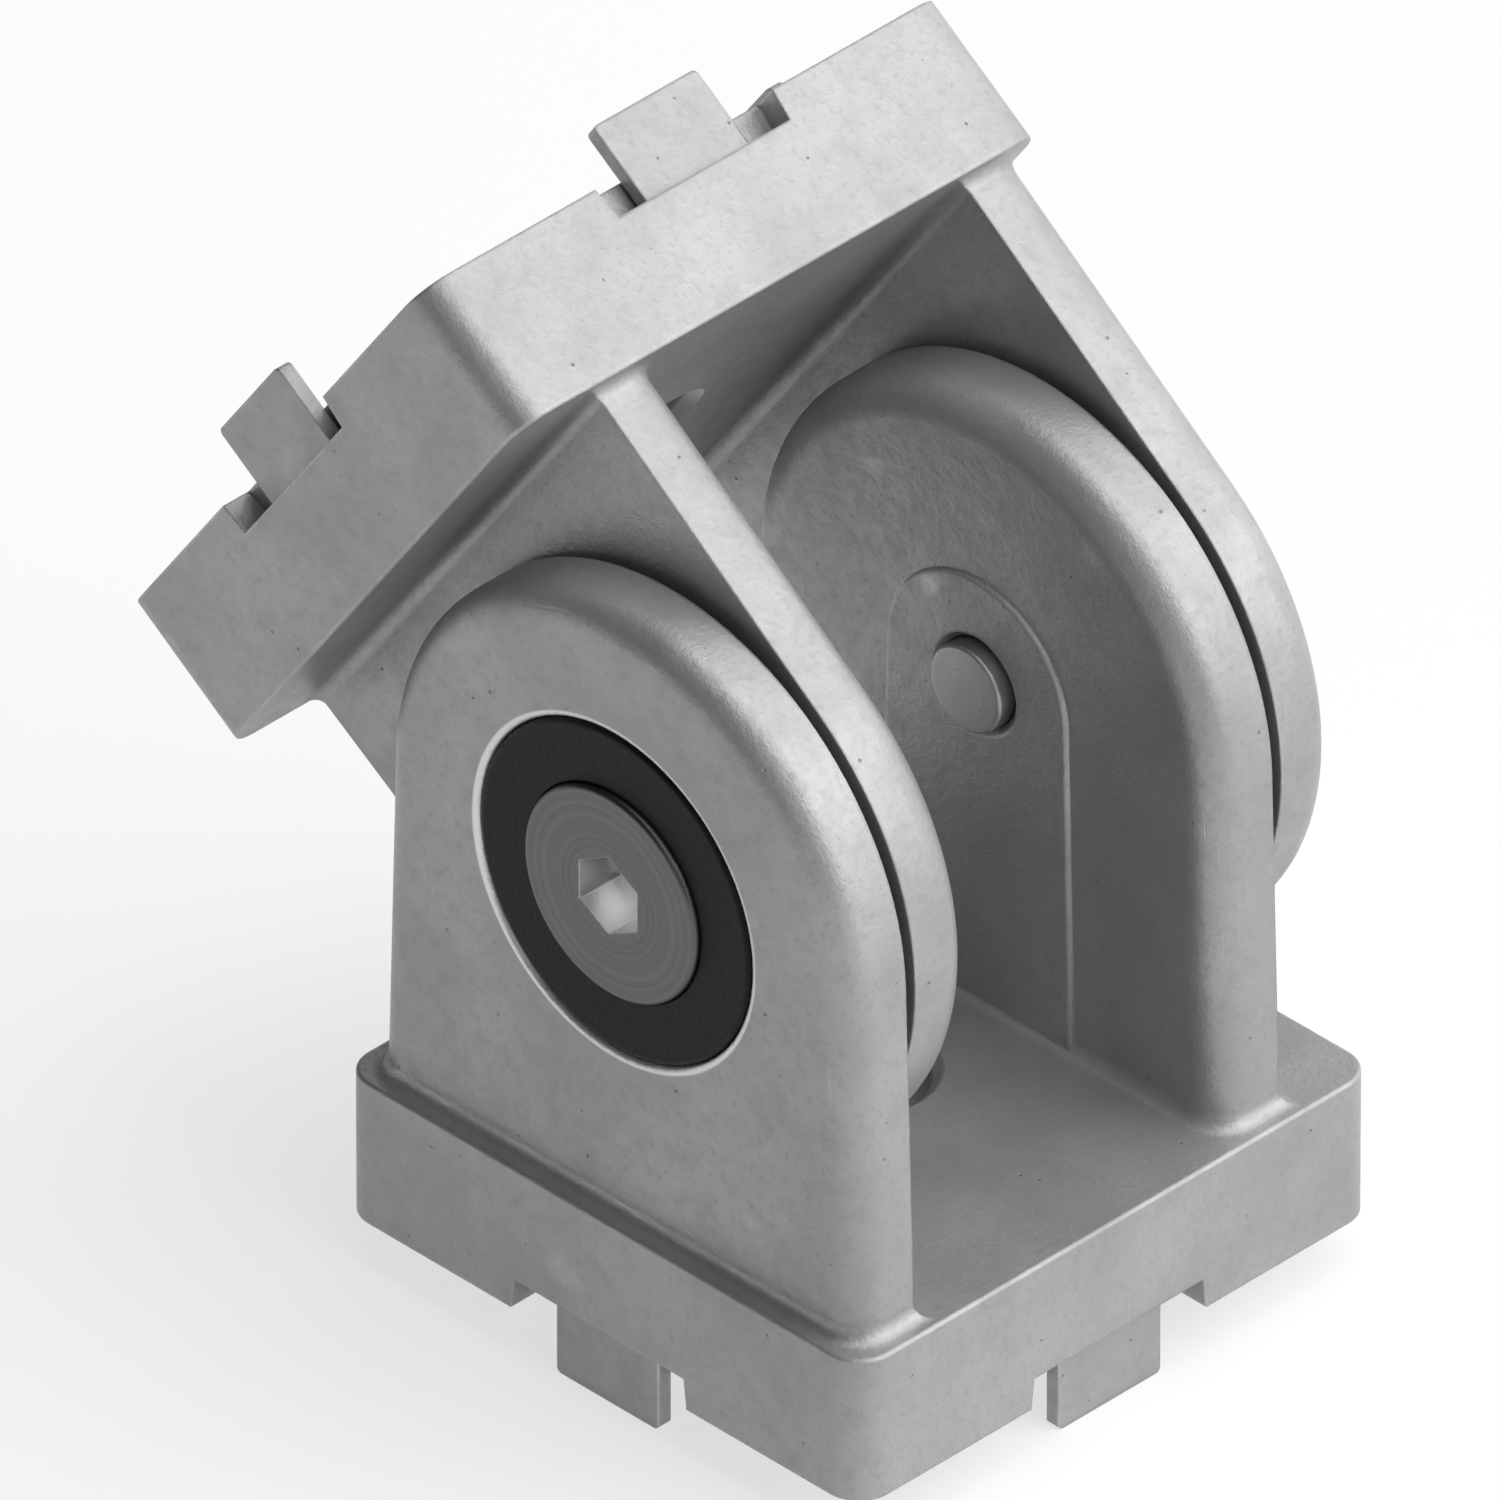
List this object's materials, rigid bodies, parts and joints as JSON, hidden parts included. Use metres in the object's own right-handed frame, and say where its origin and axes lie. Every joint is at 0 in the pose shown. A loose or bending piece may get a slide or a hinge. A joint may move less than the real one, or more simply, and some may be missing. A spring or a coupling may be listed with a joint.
{
  "type": "profile pivot joint",
  "caption": "Adjustable pivot joint for square slotted profile: cast forks with tongued foot plates, nested ear to ear and clamped at any angle by shoulder bolts.",
  "frame": {"origin": "centre of the lower mounting face, on the axis of its screw hole", "axes": "+Z out of the lower profile towards the pivot, pivot axis along Y, upper fork leans towards -X at rest"},
  "size_m": [0.0659, 0.045, 0.0773],
  "materials": {
    "cast_metal": "satin, as cast",
    "bolt_steel": "turned, dull plated",
    "ring_black": "matt, moulded",
    "bush_plastic": "matt, moulded",
    "washer_plastic": "matt, stamped"
  },
  "bodies": {
    "lower": {"lower_fork": "cast_metal", "front_seat_ring": "ring_black", "front_bearing_bush": "bush_plastic", "front_friction_washer": "washer_plastic"},
    "upper": {"upper_fork": "cast_metal", "rear_seat_ring": "ring_black", "rear_bearing_bush": "bush_plastic", "rear_friction_washer": "washer_plastic"},
    "front_bolt": {"front_pivot_bolt": "bolt_steel"},
    "rear_bolt": {"rear_pivot_bolt": "bolt_steel"}
  },
  "joints": [
    {"name": "tilt", "type": "hinge", "parent": "lower", "child": "upper", "pos_m": [0, 0, 0.0342], "axis": [0, -1, 0], "range_deg": [-145, 35]},
    {"name": "front_bolt_turn", "type": "hinge", "parent": "upper", "child": "front_bolt", "pos_m": [0, -0.01625, 0.0342], "axis": [0, -1, 0], "range_deg": [0, 180]},
    {"name": "rear_bolt_turn", "type": "hinge", "parent": "lower", "child": "rear_bolt", "pos_m": [0, 0.01625, 0.0342], "axis": [0, 1, 0], "range_deg": [0, 180]}
  ]
}
